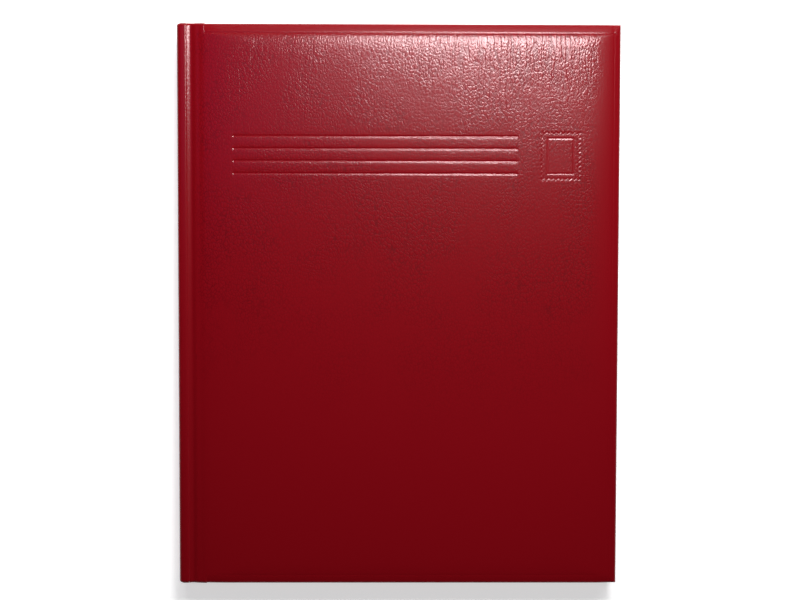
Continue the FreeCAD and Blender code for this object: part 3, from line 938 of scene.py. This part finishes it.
# %% Glassine
glassine, tree, shader, place = start("embossed_glassine")
finishes["glassine"] = glassine
crackle = add(tree, "TexVoronoi", {"Vector": place, "Scale": 1 / 5.5}, feature="DISTANCE_TO_EDGE")
crackle = add(tree, "MapRange", {"Value": crackle.outputs["Distance"], "From Max": 0.09},
              interpolation_type="SMOOTHSTEP").outputs["Result"]
bump = add(tree, "Bump", {"Height": crackle, "Strength": 0.7, "Distance": 0.12 * MM})
tree.links.new(bump.outputs["Normal"], shader.inputs["Normal"])
veil = add(tree, "MapRange", {"Value": crackle, "To Min": 0.74, "To Max": 0.52})
tree.links.new(veil.outputs["Result"], shader.inputs["Alpha"])
shader.inputs["Base Color"].default_value = linear("#DDDFD8")
shader.inputs["Roughness"].default_value = 0.35

# %% [markdown]
# ## Giving out the finishes
# Each new piece is given its finish in the lists below. The measured parts keep their
# meshes, and only the material in their slot is changed, for the finish of the same name.

# %% Assign materials
for made in (front, back, spine, front_joint, back_joint):
    made.data.materials.append(finishes["leatherette"])
for made in (front_foam, back_foam, spine_foam):
    made.data.materials.append(finishes["foam"])
for made in (head_band, tail_band):
    made.data.materials.append(finishes["headband_silk"])
for node in nodes.values():
    for held in node.material_slots:
        held.material = finishes[held.material.name]
print("finishes:", ", ".join(sorted(finishes)))

# %% [markdown]
# ## Studio
# The album lies on white paper. It is lit a little from within, so that it stays white
# beside a dark red object while the album still casts a faint shadow on it.

# %% Floor
FLOOR, UNDER = 4, -0.0004          # half its width, and its height just under the album, in m
floor_mesh = bpy.data.meshes.new("floor")
corners = [(x * FLOOR, y * FLOOR, UNDER) for x, y in ((-1, -1), (1, -1), (1, 1), (-1, 1))]
floor_mesh.from_pydata(corners, [], [(0, 1, 2, 3)])
floor = bpy.data.objects.new("floor", floor_mesh)
bpy.context.scene.collection.objects.link(floor)
paper, tree, shader, place = start("white_background_paper")
tooth = add(tree, "TexNoise", {"Vector": place, "Scale": 1 / 2.0, "Detail": 2})
bump = add(tree, "Bump", {"Height": tooth.outputs["Fac"], "Strength": 0.1, "Distance": 0.05 * MM})
tree.links.new(bump.outputs["Normal"], shader.inputs["Normal"])
shader.inputs["Base Color"].default_value = linear("#F2F2F2")
shader.inputs["Roughness"].default_value = 0.9
shader.inputs["Specular IOR Level"].default_value = 0.0
shader.inputs["Emission Color"].default_value = (1, 1, 1, 1)
shader.inputs["Emission Strength"].default_value = 0.6
floor.data.materials.append(paper)

# %% [markdown]
# Glossy leatherette is seen mostly by what it reflects. A soft light above the head,
# towards the fore-edge, lies just where the padded surface mirrors it, so the highlight
# pools along the head and fades towards the middle. A larger one beyond the head lights
# the red itself and is left out of reflections, and a weak violet one overhead cools the
# covering near the spine.

# %% Lights
def soft_light(name, place, aim, width, height, power):
    """A rectangular area light at place, turned to face aim. Lengths in metres."""
    lamp = bpy.data.lights.new(name, "AREA")
    lamp.shape, lamp.size, lamp.size_y, lamp.energy = "RECTANGLE", width, height, power
    made = bpy.data.objects.new(name, lamp)
    made.location = place
    made.rotation_euler = (Vector(aim) - Vector(place)).to_track_quat("-Z", "Y").to_euler()
    made.visible_camera = False
    bpy.context.scene.collection.objects.link(made)
    return made


soft_light("key", (0.09, 0.29, 0.6), (0.05, 0.1, 0.0), 0.2, 0.1, 3.4)
fill = soft_light("fill", (0.06, 0.52, 0.42), (0.0, 0.05, 0.0), 0.5, 0.3, 4.9)
fill.visible_glossy = False
cool = soft_light("cool", (-0.25, 0.30, 0.9), (-0.25, 0.30, 0.0), 0.4, 0.4, 0.15)
cool.data.color = (0.3, 0.2, 1.0)

# %% [markdown]
# The surroundings are a plain gradient: bright at the horizon, falling to black
# overhead, so a level surface reflects almost nothing and an upright one is well lit.

# %% Surroundings
world = bpy.data.worlds.new("studio")
bpy.context.scene.world = world
world.use_nodes = True
tree = world.node_tree
way = add(tree, "SeparateXYZ", {0: add(tree, "TexCoord").outputs["Generated"]})
level = add(tree, "ValToRGB", {"Fac": way.outputs["Z"]})
level.color_ramp.interpolation = "EASE"
level.color_ramp.elements[0].position, level.color_ramp.elements[1].position = 0.02, 0.35
level.color_ramp.elements[0].color = (0.7, 0.7, 0.7, 1)
level.color_ramp.elements[1].color = (0.0, 0.0, 0.0, 1)
tree.links.new(level.outputs["Color"], tree.nodes["Background"].inputs["Color"])
tree.nodes["Background"].inputs["Strength"].default_value = 1.0

# %% [markdown]
# The camera hangs over the middle of the album and looks almost straight down, through a
# lens long enough that the near faces don't look swollen.

# %% Camera
lens = bpy.data.cameras.new("camera")
lens.lens, lens.sensor_width = 65, 36
camera = bpy.data.objects.new("camera", lens)
camera.location = (-0.0069, 0.0441, 0.8064)
camera.rotation_euler = [math.radians(angle) for angle in (-2.974, -0.552, 0.128)]
bpy.context.scene.collection.objects.link(camera)
bpy.context.scene.camera = camera
bpy.context.scene.view_settings.view_transform = "Standard"
print("camera", round(camera.location.z, 3), "m above the table")
